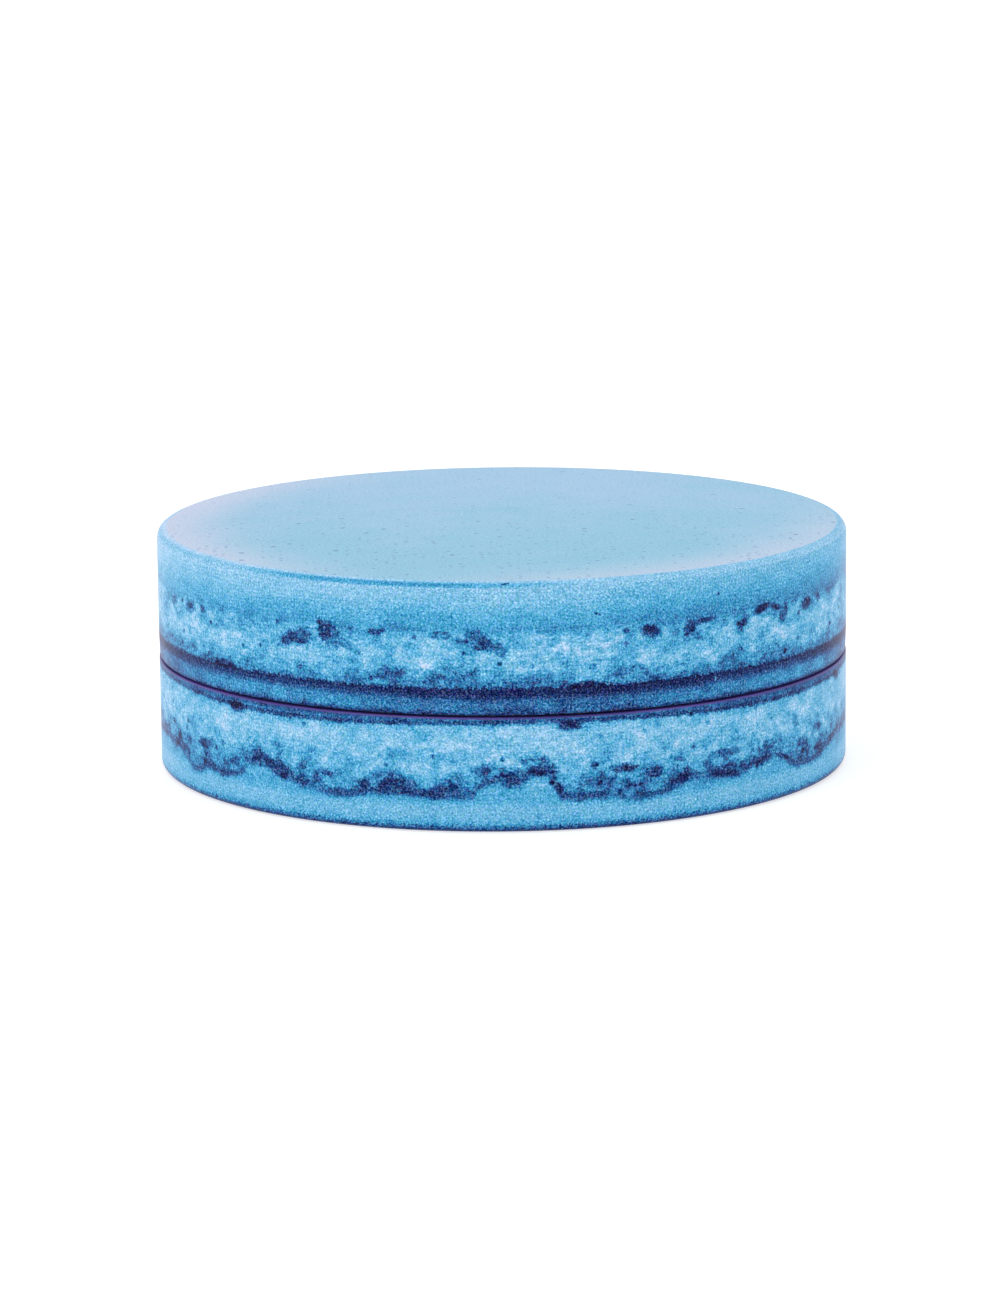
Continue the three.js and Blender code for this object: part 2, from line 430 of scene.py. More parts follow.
    @staticmethod
    def _weave() -> Tree:
        """A faint grid of upright and level threads, as a woven ground leaves in a print.

        Returns:
            The group.
        """
        graph, given, out = new_tree("weave", floats("Angle", "Height"), floats("Value"))
        pitches = (("Angle", 0.6), ("Height", 0.27))
        threads = (graph.math("SINE", graph.times(given[way], TURN / pitch)) for way, pitch in pitches)
        graph.feed(out["Value"], graph.plus(*threads))
        return graph.tree

    @staticmethod
    def _turning(place: Tree) -> Tree:
        """Fine rings left by a lathe, with a little grain.

        Args:
            place: The group that tells where a point lies.

        Returns:
            The group.
        """
        graph, given, out = new_tree("turning_marks", floats("Pitch", "Grain"), floats("Value"))
        spot = graph.use(place)
        rings = graph.combine(*(graph.over(spot[way], given["Pitch"]) for way in ("Radius", "Height")))
        marks = graph.noise(rings, 1.0, detail=3.0, roughness=0.6)
        grain = graph.noise(spot["Point"], given["Grain"])
        graph.feed(out["Value"], graph.plus(graph.times(marks, 0.7), graph.times(grain, 0.3)))
        return graph.tree


class Surface(Graph):
    """A new material's own tree, with the shared effects and the place on the drum at hand."""

    def __init__(self, name: str, plain: dict[str, Feed], effects: Effects) -> None:
        """Makes the material and sets what is the same all over it.

        Args:
            name: The material's name.
            plain: Values of its Principled node's own sockets.
            effects: The shared shader groups.
        """
        self.material = bpy.data.materials.new(name)
        self.material.use_nodes = True
        super().__init__(self.material.node_tree)
        self.shader = self.find("BSDF_PRINCIPLED").inputs
        for key, value in plain.items():
            self.feed(self.shader[key], value)
        self.effects = effects
        place = self.use(effects.place)
        self.angle, self.height, self.point = place["Angle"], place["Height"], place["Point"]
        self.radius = place["Radius"]

    def two_tone(self, value: Socket, first: Colour, second: Colour, reach: float = 0.14) -> Socket:
        """Two shades mixed by a pattern about 0.5, which reaches each shade this far from it."""
        return self.mix(self.spread(value, 0.5 - reach, 0.5 + reach), first, second)

    def coat(
        self, colour: Socket, gloss: Socket, swing: float, bump: Socket | None = None, depth: float = 0.0
    ) -> None:
        """Feeds the colour, a roughness that varies about its plain value, and a relief.

        Args:
            colour: The base colour.
            gloss: The pattern about 0.5 that varies the roughness.
            swing: How much the roughness varies with it.
            bump: The pattern that stands out, where one does.
            depth: How far it stands out, in millimetres.
        """
        plain = self.shader["Roughness"].default_value
        self.feed(self.shader["Base Color"], colour)
        self.feed(self.shader["Roughness"], self.mul_add(gloss, swing, plain - swing / 2))
        if bump is not None:
            relief = self.add("ShaderNodeBump", {"Height": bump, "Distance": depth * MM})
            self.feed(self.shader["Normal"], relief.outputs["Normal"])


# ---------------------------------------------------------------- finishes


@dataclass(frozen=True)
class Finish:
    """A surface finish, as a Principled shader with its own patterns."""

    name: str
    roughness: float
    metallic: float = 0.0
    specular: float = 0.5
    sheen: float = 0.0
    sheen_roughness: float = 0.25
    sheen_tint: Colour = (1.0, 1.0, 1.0)

    def material(self, effects: Effects) -> bpy.types.Material:
        """Makes the material.

        Args:
            effects: The shared shader groups.

        Returns:
            The material.
        """
        plain = {
            "Roughness": self.roughness,
            "Metallic": self.metallic,
            "Specular IOR Level": self.specular,
            "Sheen Weight": self.sheen,
            "Sheen Roughness": self.sheen_roughness,
            "Sheen Tint": self.sheen_tint,
        }
        surface = Surface(self.name, plain, effects)
        self.paint(surface)
        return surface.material

    def paint(self, on: Surface) -> None:
        """Adds the finish's own patterns. Each kind of finish has its own way."""
        raise NotImplementedError


@dataclass(frozen=True)
class Pit:
    """A dark pit in the printed crumb: angle, height, half width, half height, slope and depth."""

    at: float
    up: float
    wide: float
    tall: float
    lean: float = 0.0
    depth: float = 0.43


# The pits, each as a Pit's values.
UPPER_PITS = (
    (-68.5, 13.5, 0.75, 0.4, 0.2, 0.2), (-61.7, 13.5, 0.8, 0.42, 0.1, 0.35),
    (-57.3, 13.7, 0.32, 0.25, 0.0, 0.35), (-49.0, 13.4, 0.45, 0.3, 0.3, 0.12),
    (-36.2, 12.75, 0.75, 0.5, 0.45), (-33.3, 13.1, 1.0, 0.6, 0.15), (-28.3, 13.35, 0.95, 0.85, -0.35),
    (-25.3, 12.75, 1.1, 0.35, -0.4, 0.3), (-20.5, 13.8, 0.6, 0.22), (-9.6, 13.75, 0.75, 0.26, 0.0, 0.4),
    (-6.5, 13.35, 0.7, 0.22, -0.4, 0.22), (-3.2, 13.3, 1.05, 0.6, -0.3), (-0.7, 12.8, 0.6, 0.5, -0.5),
    (19.8, 13.75, 0.25, 0.2, 0.0, 0.42), (24.0, 13.55, 0.75, 0.42, -0.15), (30.9, 13.5, 0.5, 0.5, 0.3),
    (33.5, 13.85, 1.0, 0.2, 0.1, 0.3), (32.0, 12.9, 0.5, 0.25, -0.3, 0.2), (42.0, 13.35, 0.5, 0.4, 0.4),
    (45.8, 14.0, 0.85, 0.26, 0.3, 0.4), (44.0, 13.75, 0.5, 0.2, 0.5, 0.28),
    (50.0, 13.85, 0.75, 0.24, -0.3, 0.38), (51.7, 13.35, 0.5, 0.6, 0.5, 0.42),
    (58.4, 13.45, 0.8, 0.42, 0.1, 0.42), (63.0, 13.7, 0.4, 0.3, 0.0, 0.25),
    (-18.8, 11.05, 1.6, 0.45, 0.1, 0.16), (-8.0, 11.0, 1.6, 0.55, 0.2, 0.18),
    (20.5, 10.95, 1.5, 0.5, 0.1, 0.14), (36.5, 15.6, 0.14, 0.14, 0.0, 0.35),
    (15.0, 15.05, 0.3, 0.09, -0.4, 0.3), (0.5, 17.27, 0.26, 0.05, 0.15, 0.45),
)
LIP_PITS = (
    (-47.9, 7.3, 0.75, 0.36, 0.0, 0.5), (10.3, 7.35, 0.85, 0.32, 0.0, 0.5),
    (72.0, 7.35, 0.8, 0.3, -0.2, 0.4), (-51.0, 10.2, 1.3, 0.26, 0.0, 0.3),
    (12.8, 10.2, 1.5, 0.24, 0.0, 0.3),
)
LOWER_PITS = (
    (-63.2, 3.85, 0.6, 0.42, 0.2, 0.3), (-57.2, 4.05, 0.95, 0.42, 0.05, 0.4),
    (-52.0, 4.5, 0.25, 0.2, 0.0, 0.25), (-42.8, 4.2, 1.0, 0.36, -0.05),
    (-38.4, 3.55, 1.1, 0.65, -0.3, 0.42), (-33.8, 4.0, 0.4, 0.36, 0.0, 0.22),
    (-29.5, 3.65, 0.6, 0.3, -0.1, 0.3), (-27.0, 2.4, 1.5, 0.32, 0.05, 0.36),
    (-22.4, 3.0, 0.5, 0.4, 0.0, 0.34), (-18.5, 3.1, 1.05, 0.55, 0.15), (-15.0, 3.1, 0.55, 0.5, 0.0, 0.34),
    (-10.2, 2.8, 0.9, 0.5, 0.0, 0.42), (-3.4, 4.4, 0.6, 0.4, 0.0, 0.36), (1.4, 3.95, 1.1, 0.6, 0.1, 0.42),
    (6.0, 4.4, 1.1, 0.42, 0.0), (3.1, 4.97, 0.24, 0.2, 0.0, 0.3), (14.4, 4.55, 0.3, 0.26, 0.0, 0.4),
    (14.3, 3.45, 1.0, 0.5, 0.3, 0.16), (19.3, 4.2, 0.95, 0.34, 0.0, 0.42), (24.6, 3.7, 0.7, 0.4, 0.1, 0.42),
    (26.9, 5.35, 0.4, 0.35, 0.0, 0.2), (28.7, 4.4, 0.5, 0.2, -0.1, 0.24), (35.0, 4.1, 0.5, 0.4, 0.5, 0.3),
    (38.4, 4.35, 1.1, 0.32, 0.0, 0.32), (38.0, 3.15, 1.7, 0.5, 0.0, 0.3), (46.9, 4.1, 0.4, 0.7, 0.0, 0.3),
    (55.5, 5.35, 0.45, 0.35, 0.0, 0.2), (57.7, 3.7, 0.75, 0.45, 0.1, 0.38),
    (62.5, 4.3, 0.9, 0.36, 0.1, 0.3),
)

# The edge of the lower shell, as angles and heights. It ends at the height it starts at.
SHELL_EDGE = (
    (-90, 2.9), (-72, 3.1), (-64, 2.4), (-60, 1.75), (-56, 2.3), (-52, 2.15), (-48, 2.4), (-45.5, 3.3),
    (-43, 3.7), (-40, 3.2), (-36, 2.7), (-31, 2.4), (-27, 2.1), (-22, 2.5), (-15, 2.6), (-10, 2.35),
    (-5, 2.5), (-2.5, 3.4), (1, 3.3), (5, 4.0), (8, 3.0), (10.5, 2.2), (17, 2.25), (21, 1.85),
    (25, 2.0), (29, 2.5), (33, 3.0), (37, 2.7), (41, 2.6), (45, 3.1), (49, 3.1), (54, 2.35),
    (59, 2.0), (63, 2.1), (68, 2.7), (78, 3.1), (90, 2.9),
)
SHELL_TOP = 5.0


@dataclass(frozen=True)
class SidePrint(Finish):
    """The picture round the side: two pale crumbly biscuits with a blue filling between them.

    A paleness from 0 to 1 is worked out first, and one ramp turns it into colour.
    """

    cloud_scale: float = 0.6
    cloud_swing: float = 2.1
    dimple_depth: float = 0.48
    pit_strength: float = 0.88
    pit_ragged: float = 1.15
    pit_grit: float = 0.75
    grain: float = 8.5
    grain_depth: float = 1.05
    grain_fade: float = 0.5
    weave_faint: float = 0.004
    weave_strong: float = 0.022
    waves: int = 4
    wave_start: float = -204.0
    left_lift: float = 0.035
    lean_crumb: float = 0.6
    lean_dome: float = 1.6
    lean_rim: float = -2.6
    lip_sag: float = 0.17
    filling_swing: float = 0.065
    rim_bruise: float = 0.27

    # Bands of height, each with where it starts and where it ends.
    LIP = ((6.6, 7.1), (8.2, 8.1))
    FILLING = ((8.2, 8.6), (10.1, 9.4))
    RIM = ((16.95, 17.1), (17.38, 17.25))
    # How pale the picture is at each height in millimetres.
    PALENESS = (
        (0.0, 0.2), (0.18, 0.24), (0.42, 0.42), (0.7, 0.63), (1.0, 0.7), (1.5, 0.73), (2.0, 0.66),
        (2.5, 0.6), (3.4, 0.62), (4.4, 0.67), (5.1, 0.7), (5.9, 0.765), (6.5, 0.78), (7.0, 0.735),
        (7.36, 0.66), (7.46, 0.3), (7.6, 0.27), (7.75, 0.36), (7.9, 0.37), (8.0, 0.3), (8.25, 0.24),
        (8.4, 0.36), (8.9, 0.44), (9.35, 0.33), (9.7, 0.2), (10.02, 0.17), (10.16, 0.44), (10.6, 0.5),
        (11.1, 0.6), (11.7, 0.73), (12.2, 0.74), (12.7, 0.7), (13.5, 0.68), (14.0, 0.56), (14.2, 0.53),
        (14.5, 0.57), (15.0, 0.61), (15.6, 0.69), (16.2, 0.75), (16.8, 0.79), (17.05, 0.83), (17.25, 0.83),
        (17.4, 0.85),
    )
    # How strongly the clouds show at each height.
    CLOUDINESS = (
        (0.0, 0.1), (2.0, 0.15), (3.0, 0.6), (5.0, 0.75), (6.4, 0.55), (7.3, 0.6), (7.6, 0.3), (8.9, 0.35),
        (9.8, 0.1), (10.2, 0.45), (11.0, 0.85), (12.0, 0.8), (13.0, 0.85), (13.9, 0.7), (14.4, 0.25),
        (16.5, 0.15), (17.4, 0.1),
    )
    INKS = (
        (0.0, shade(10, 20, 62)), (0.14, shade(18, 36, 84)), (0.23, shade(30, 60, 110)),
        (0.335, shade(42, 90, 144)), (0.435, shade(51, 121, 173)), (0.51, shade(60, 142, 191)),
        (0.6, shade(73, 164, 208)), (0.71, shade(104, 179, 219)), (0.775, shade(124, 187, 223)),
        (0.85, shade(142, 197, 231)), (0.92, shade(164, 205, 238)), (1.0, shade(196, 214, 244)),
    )
    # A fine pale hair across the filling.
    HAIR = Pit(35.9, 9.68, 0.07, 0.24, 0.0, 0.5)

    def paint(self, on: Surface) -> None:
        """Lays the picture down: bands, clouds, pits, the shell's edge and the grain.

        Args:
            on: The surface to paint.
        """
        ragged = on.minus(on.noise(on.point, 2.1, detail=4.0, roughness=0.65), 0.5)
        grit = on.minus(on.noise(on.point, 7.0, detail=1.0), 0.5)
        fray = on.mul_add(grit, 0.5, on.times(ragged, 0.5))
        start = math.radians(self.wave_start)
        wave = on.math("COSINE", on.mul_add(on.angle, math.radians(self.waves), start))
        sagged = on.mul_add(on.times(wave, on.band(on.height, *self.LIP)), self.lip_sag, on.height)

        pale = on.curve(on.plus(sagged, fray), self.PALENESS)
        pale = on.plus(pale, self._clouds(on))
        pale = on.minus(pale, self._marks(on, ragged, grit))
        pale = on.plus(pale, self._drift(on, wave))
        weave = on.use(on.effects.weave, Angle=on.angle, Height=on.height)["Value"]
        patch = on.smooth(on.noise(on.point, 0.09, detail=1.0), 0.35, 0.65)
        woven = on.mul_add(weave, on.mul_add(patch, self.weave_strong, self.weave_faint), pale)

        colour = on.ramp(on.mul_add(grit, 0.3, woven), self.INKS)
        depth = on.mul_add(pale, -self.grain_fade, self.grain_depth)
        dotted = on.use(on.effects.stipple, Colour=colour, Point=on.point, Grain=self.grain, Depth=depth)
        on.coat(dotted["Colour"], on.noise(on.point, 0.5, detail=3.0), 0.12, dotted["Value"], depth=0.004)

    def _clouds(self, on: Surface) -> Socket:
        """How much the crumb's clouds and dimples change the paleness.

        Args:
            on: The surface to paint.

        Returns:
            The change.
        """
        clouds = on.use(
            on.effects.clouds, Point=on.point, Scale=self.cloud_scale, Flatten=1.5, Fine_Share=0.38
        )
        swing = on.mul_add(clouds["Value"], self.cloud_swing, -self.cloud_swing / 2)
        dimples = on.use(on.effects.specks, Point=on.point, Scale=0.9, Size=0.24, Share=0.6)
        dimpled = on.mul_add(dimples["Mask"], -self.dimple_depth, swing)
        return on.times(dimpled, on.curve(on.height, self.CLOUDINESS))

    def _drift(self, on: Surface, wave: Socket) -> Socket:
        """Slow changes round the drum: paler on the left, and a filling and a rim that come and go.

        Args:
            on: The surface to paint.
            wave: A slow wave round the drum, from -1 to 1.

        Returns:
            The change in paleness.
        """
        lean = on.times(on.split(on.point)[0], -self.left_lift / Drum.RADIUS)
        rim = on.band(on.height, *self.RIM)
        above = on.smooth(on.height, 13.6, 14.6)
        dome = on.mul_add(rim, self.lean_rim, on.mul_add(above, self.lean_dome, self.lean_crumb))
        near = on.smooth(on.math("ABSOLUTE", on.plus(on.angle, 18.0)), 36.0, 6.0)
        slow = on.minus(on.noise(on.point, 0.13, detail=1.0), 0.5)
        total = on.mul_add(slow, 0.12, on.times(lean, dome))
        total = on.mul_add(on.times(wave, on.band(on.height, *self.FILLING)), self.filling_swing, total)
        return on.mul_add(on.times(rim, near), -self.rim_bruise, total)

    def _marks(self, on: Surface, ragged: Socket, grit: Socket) -> Socket:
        """How much paleness the pits and the shell's shadow take away.

        Args:
            on: The surface to paint.
            ragged: Coarse noise about 0.
            grit: Fine noise about 0.

        Returns:
            The deepest mark's depth at the point, less than 0 on a pale hair.
        """
        fray = on.mul_add(ragged, self.pit_ragged, on.times(grit, self.pit_grit))
        deepest: Feed = 0.0
        for pit in (Pit(*row) for row in (*UPPER_PITS, *LIP_PITS, *LOWER_PITS)):
            deepest = on.math("MAXIMUM", deepest, on.times(self._pit(on, pit, fray), pit.depth))
        hair = self._pit(on, self.HAIR, 0.3)
        pits = on.mul_add(hair, -self.HAIR.depth, on.times(deepest, self.pit_strength))
        shadow = self._shell_shadow(on, ragged, grit)
        return on.plus(on.math("MAXIMUM", shadow, pits), on.math("MINIMUM", pits, 0.0))

    @staticmethod
    def _pit(on: Surface, pit: Pit, fray: Feed) -> Socket:
        """Where one pit lies.

        Args:
            on: The surface to paint.
            pit: The pit.
            fray: How far its edge is pulled out or in.

        Returns:
            One inside the pit and 0 outside.
        """
        sizes = {"At": pit.at, "Up": pit.up, "Wide": pit.wide, "Tall": pit.tall, "Lean": pit.lean}
        return on.use(on.effects.pit, Angle=on.angle, Height=on.height, Ragged=fray, **sizes)["Mask"]

    @staticmethod
    def _shell_shadow(on: Surface, ragged: Socket, grit: Socket) -> Socket:
        """The broken shadow where the crumb meets the lower shell.

        Args:
            on: The surface to paint.
            ragged: Coarse noise about 0.
            grit: Fine noise about 0.

        Returns:
            How much paleness it takes away.
        """
        wander = on.mul_add(ragged, 0.9, on.times(grit, 0.6))
        above = on.minus(on.plus(on.height, wander), on.curve(on.angle, SHELL_EDGE, SHELL_TOP))
        near = on.band(above, (-0.45, 0.3), (2.1, 0.8))
        patch = on.noise(on.point, 0.8, detail=4.0, roughness=0.66)
        blots = on.smooth(on.mul_add(near, 0.05, patch), 0.5, 0.66)
        line = on.smooth(on.math("ABSOLUTE", on.minus(above, 0.2)), 0.55, 0.05)
        broken = on.smooth(on.noise(on.point, 0.6), 0.25, 0.55)
        blotted = on.mul_add(on.times(blots, near), 0.27, on.times(near, 0.09))
        return on.math("MAXIMUM", blotted, on.times(line, on.mul_add(broken, 0.23, 0.12)))


@dataclass(frozen=True)
class FacePrint(Finish):
    """The plain pale blue print on the flat top and on the underside, with a painted sheen towards the left
    and front right of the rim.
    """

    main: Colour = shade(117, 184, 213)
    pale: Colour = shade(140, 187, 221)
    # A painted sheen: the pale lavender white of the room's reflection, painted in at the rim's left and
    # front right.
    painted_sheen: Colour = shade(196, 200, 226)
    speck: Colour = shade(52, 104, 160)
    # How strongly the painted sheen shows where it is strongest.
    painted_sheen_strength: float = 0.85

    # The specks' scale, size, share and strength: a few bold ones and more fine ones.
    SPECKS = ((0.62, 0.17, 0.5, 1.0), (1.5, 0.3, 0.55, 0.6))

    def paint(self, on: Surface) -> None:
        """Lays down soft clouds, a painted sheen at the left and front right edges, grain and a few specks.

        Args:
            on: The surface to paint.
        """
        clouds = on.use(on.effects.clouds, Point=on.point, Scale=0.1, Flatten=1.0, Fine_Share=0.35)["Value"]
        aside, back, _ = on.split(on.point)
        share = on.plus(clouds, on.over(back, 4 * Drum.RADIUS))
        colour = on.mix(on.smooth(share, 0.3, 0.72), self.main, self.pale)
        # Painted sheen: the rim is painted towards a pale lavender white at the left and front right, where
        # the white room would reflect at the grazing view.
        left = on.smooth(on.over(aside, -Drum.RADIUS), 0.2, 0.95)
        across = on.over(on.minus(aside, back), math.sqrt(2) * Drum.RADIUS)
        right = on.times(on.smooth(across, 0.3, 1.0), 0.8)
        ring = on.smooth(on.radius, 0.66 * Drum.RADIUS, Drum.RADIUS)
        edges = on.times(ring, on.math("MAXIMUM", left, right))
        colour = on.mix(on.times(edges, self.painted_sheen_strength), colour, self.painted_sheen)
        toward = on.spread(back, 0.3 * Drum.RADIUS, -0.5 * Drum.RADIUS, (0.35, 1.0))
        for scale, size, share, strength in self.SPECKS:
            specks = on.use(on.effects.specks, Point=on.point, Scale=scale, Size=size, Share=share)["Mask"]
            colour = on.mix(on.times(specks, on.times(toward, strength)), colour, self.speck)
        dotted = on.use(on.effects.stipple, Colour=colour, Point=on.point, Grain=5.0, Depth=0.26)
        peel = on.noise(on.point, 1.6)
        on.coat(dotted["Colour"], on.noise(on.point, 0.3, detail=3.0), 0.1, peel, depth=0.004)


@dataclass(frozen=True)
class EdgeInk(Finish):
    """The thin violet line where the print ends on a lip."""

    main: Colour = ink(84, 66, 152)
    deep: Colour = ink(60, 50, 128)

    def paint(self, on: Surface) -> None:
        """Varies the violet round the lip."""
        colour = on.two_tone(on.noise(on.point, 0.12, detail=3.0), self.main, self.deep, reach=0.15)
        on.coat(colour, on.noise(on.point, 3.0, detail=3.0), 0.2)


@dataclass(frozen=True)
class TurnedMetal(Finish):
    """Metal with fine lathe rings and a soft cloudiness."""

    main: Colour = ink(214, 216, 220)
    dull: Colour = ink(182, 185, 190)
    pitch: float = 0.16
    depth: float = 0.01

    def paint(self, on: Surface) -> None:
        """Lays down rings, clouds and grain.

        Args:
            on: The surface to paint.
        """
        marks = on.use(on.effects.turning, Pitch=self.pitch, Grain=4.0)["Value"]
        clouds = on.noise(on.point, 0.25, detail=4.0, roughness=0.6)
        both = on.mul_add(marks, 0.55, on.times(clouds, 0.45))
        on.coat(on.two_tone(both, self.dull, self.main), clouds, -0.35, marks, self.depth)


@dataclass(frozen=True)
class GrainedMetal(Finish):
    """Metal with a fine even grain and light upright scuffs, for teeth and magnets."""

    main: Colour = ink(232, 232, 234)
    dull: Colour = ink(200, 201, 205)
    grain: float = 2.2

    def paint(self, on: Surface) -> None:
        """Lays down grain and upright scuffs.

        Args:
            on: The surface to paint.
        """
        clouds = on.use(on.effects.clouds, Point=on.point, Scale=self.grain, Flatten=0.25, Fine_Share=0.5)
        grain = clouds["Value"]
        on.coat(on.two_tone(grain, self.dull, self.main), grain, -0.4, grain, depth=0.006)


@dataclass(frozen=True)
class MilkyPlastic(Finish):
    """Cloudy low-friction plastic."""

    main: Colour = ink(240, 240, 234)
    worn: Colour = ink(216, 218, 214)

    def paint(self, on: Surface) -> None:
        """Lays down soft clouds and rub marks along the ring."""
        rubs = on.use(on.effects.clouds, Point=on.point, Scale=0.4, Flatten=6.0, Fine_Share=0.4)["Value"]
        on.coat(on.two_tone(rubs, self.worn, self.main), rubs, 0.3, rubs, depth=0.01)


class Palette:
    """Every material of the crusher, made once."""

    def __init__(self) -> None:
        """Builds the shared effects and the materials."""
        finishes = {
            "side": SidePrint(
                "side_print", roughness=0.3, specular=0.04, sheen=0.12, sheen_tint=(0.5, 0.45, 1.0)
            ),
            "face": FacePrint("face_print", roughness=0.3, specular=0.1),
            "lip": EdgeInk("lip_ink", roughness=0.4),
            "bare": TurnedMetal(
                "bare_aluminium", 0.36, metallic=1.0, main=ink(238, 239, 241), dull=ink(216, 218, 222)
            ),
            "plate": TurnedMetal("cast_zinc", roughness=0.4, metallic=1.0),
            "tooth": GrainedMetal("tooth_steel", roughness=0.3, metallic=1.0),
            "magnet": GrainedMetal(
                "nickel", 0.16, metallic=1.0, main=ink(222, 219, 210), dull=ink(196, 192, 182), grain=0.6
            ),
            "ring": MilkyPlastic("milky_plastic", roughness=0.5),
        }
        effects = Effects()
        made = {name: finish.material(effects) for name, finish in finishes.items()}
        self.casing = tuple(made[name] for name in ("side", "face", "lip", "bare"))
        self.plate, self.tooth, self.magnet, self.ring = (
            made[name] for name in ("plate", "tooth", "magnet", "ring")
        )


# ---------------------------------------------------------------- shapes


def smooth_object(name: str, mesh: bpy.types.Mesh, sharp: float = 35.0) -> Piece:
    """Shades a mesh smooth but for its sharp edges, and puts it in the scene.

    Args:
        name: The object's name.
        mesh: Its mesh.
        sharp: The angle over which an edge stays sharp, in degrees.

    Returns:
        The object.
    """
    mesh.shade_smooth()
    mesh.set_sharp_from_angle(angle=math.radians(sharp))
    mesh.update()
    return put(name, mesh)


def tie(piece: Piece, body: Body, slot: Slot, *nodes: str) -> Piece:
    """Ties a piece to the frame.

    Args:
        piece: The piece.
        body: The body that it rides on.
        slot: The record's slot that its finish comes from. It is not used.
        *nodes: The CAD nodes that it stands for.

    Returns:
        The piece.
    """
    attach(piece, body.value)
    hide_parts(*nodes)
    return piece


@dataclass(frozen=True)
class Corner:
    """A corner of a turned outline, in millimetres.

    The finish is that of the run which starts here. The round's finish is its own where it has one.
    """

    radius: float
    height: float
    finish: int = 0
    round: float = 0.0
    round_finish: int | None = None

    @property
    def place(self) -> Vector:
        """The corner as a point."""
        return Vector((self.radius, self.height))


@dataclass
class TurnedPiece:
    """A solid of revolution about the drum's axis, with rounded corners."""

    name: str
    outline: Sequence[Corner]
    materials: Sequence[bpy.types.Material]
    segments: int = 288
    round_steps: int = 6
    stay: float = 0.35

    def _rounded(self) -> list[tuple[Vector, int]]:
        """The outline's points with arcs at its corners.

        Returns:
            Points, each with the finish of the run that follows it.
        """
        points: list[tuple[Vector, int]] = []
        last = len(self.outline) - 1
        for index, corner in enumerate(self.outline):
            if corner.round == 0 or index in (0, last):
                points.append((corner.place, corner.finish))
            else:
                points += self._arc(*self.outline[index - 1 : index + 2])
        return points

    def _arc(self, before: Corner, corner: Corner, after: Corner) -> list[tuple[Vector, int]]:
        """The points of one rounded corner, with a stay loop on each side that keeps flat runs flat.

        Args:
            before: The corner before it.
            corner: The corner.
            after: The corner after it.

        Returns:
            Points, each with the finish of the run that follows it.
        """
        here = corner.place
        back, ahead = before.place - here, after.place - here
        half = back.angle(ahead) / 2
        cut = corner.round / math.tan(half)
        start, end = back.normalized(), ahead.normalized()
        centre = here + (start + end).normalized() * (corner.round / math.sin(half))
        spoke = here + start * cut - centre
        sweep = spoke.angle_signed(here + end * cut - centre)
        finish = corner.finish if corner.round_finish is None else corner.round_finish
        made: list[tuple[Vector, int]] = []
        if back.length > cut + 2 * self.stay:
            made.append((here + start * (cut + self.stay), before.finish))
        for step in range(self.round_steps + 1):
            turned = Matrix.Rotation(-sweep * step / self.round_steps, 2) @ spoke
            made.append((centre + turned, finish if step < self.round_steps else corner.finish))
        if ahead.length > cut + 2 * self.stay:
            made.append((here + end * (cut + self.stay), corner.finish))
        return made

    def build(self) -> Piece:
        """Makes the closed mesh.

        Returns:
            The piece, at the origin.
        """
        points = self._rounded()
        steps = range(self.segments)
        vertices: list[tuple[float, float, float]] = []
        rings: list[Sequence[int]] = []
        for (radius, height), _ in points:
            start = len(vertices)
            if radius < 1e-6:
                vertices.append((0.0, 0.0, height * MM))
                rings.append([start] * self.segments)
                continue
            for angle in (TURN * step / self.segments for step in steps):
                vertices.append((radius * math.cos(angle) * MM, radius * math.sin(angle) * MM, height * MM))
            rings.append(range(start, start + self.segments))
        faces: list[tuple[int, ...]] = []
        finishes: list[int] = []
        for low, high, (_, finish) in zip(rings, rings[1:], points):
            for step in steps:
                after = (step + 1) % self.segments
                faces.append(tuple(dict.fromkeys((low[step], low[after], high[after], high[step]))))
                finishes.append(finish)
        mesh = bpy.data.meshes.new(self.name)
        mesh.from_pydata(vertices, [], faces)
        mesh.polygons.foreach_set("material_index", finishes)
        for material in self.materials:
            mesh.materials.append(material)
        return smooth_object(self.name, mesh)


def dress(graph: Graph, shape: Socket, material: Socket) -> Socket:
    """Makes the instances of a shape real and gives it its material.

    Args:
        graph: The geometry tree.
        shape: The shape.
        material: The material.

    Returns:
        The finished mesh.
    """
    real = graph.add("GeometryNodeRealizeInstances", {"Geometry": shape})
    dressed = graph.add("GeometryNodeSetMaterial", {"Geometry": real.outputs[0], "Material": material})
    return dressed.outputs[0]


def mesh_from_nodes(name: str, tree: Tree, sizes: dict[str, object]) -> bpy.types.Mesh:
    """Runs a geometry tree and keeps its result as a plain mesh.

    Args:
        name: The mesh's name.
        tree: The tree.
        sizes: Its inputs' values, by name.

    Returns:
        The mesh, with no modifier or instance left.
    """
    host = put(f"{name}_host", bpy.data.meshes.new(f"{name}_host"))
    modifier = host.modifiers.new(name, "NODES")
    modifier.node_group = tree
    sockets = {item.name: item.identifier for item in tree.interface.items_tree if item.in_out == "INPUT"}
    for label, value in sizes.items():
        modifier[sockets[label]] = value
    host.update_tag()
    bpy.context.view_layer.update()
    graph = bpy.context.evaluated_depsgraph_get()
    mesh = bpy.data.meshes.new_from_object(host.evaluated_get(graph))
    mesh.name = name
    host.modifiers.clear()
    bpy.data.objects.remove(host)
    return mesh


# ---------------------------------------------------------------- sub-assemblies


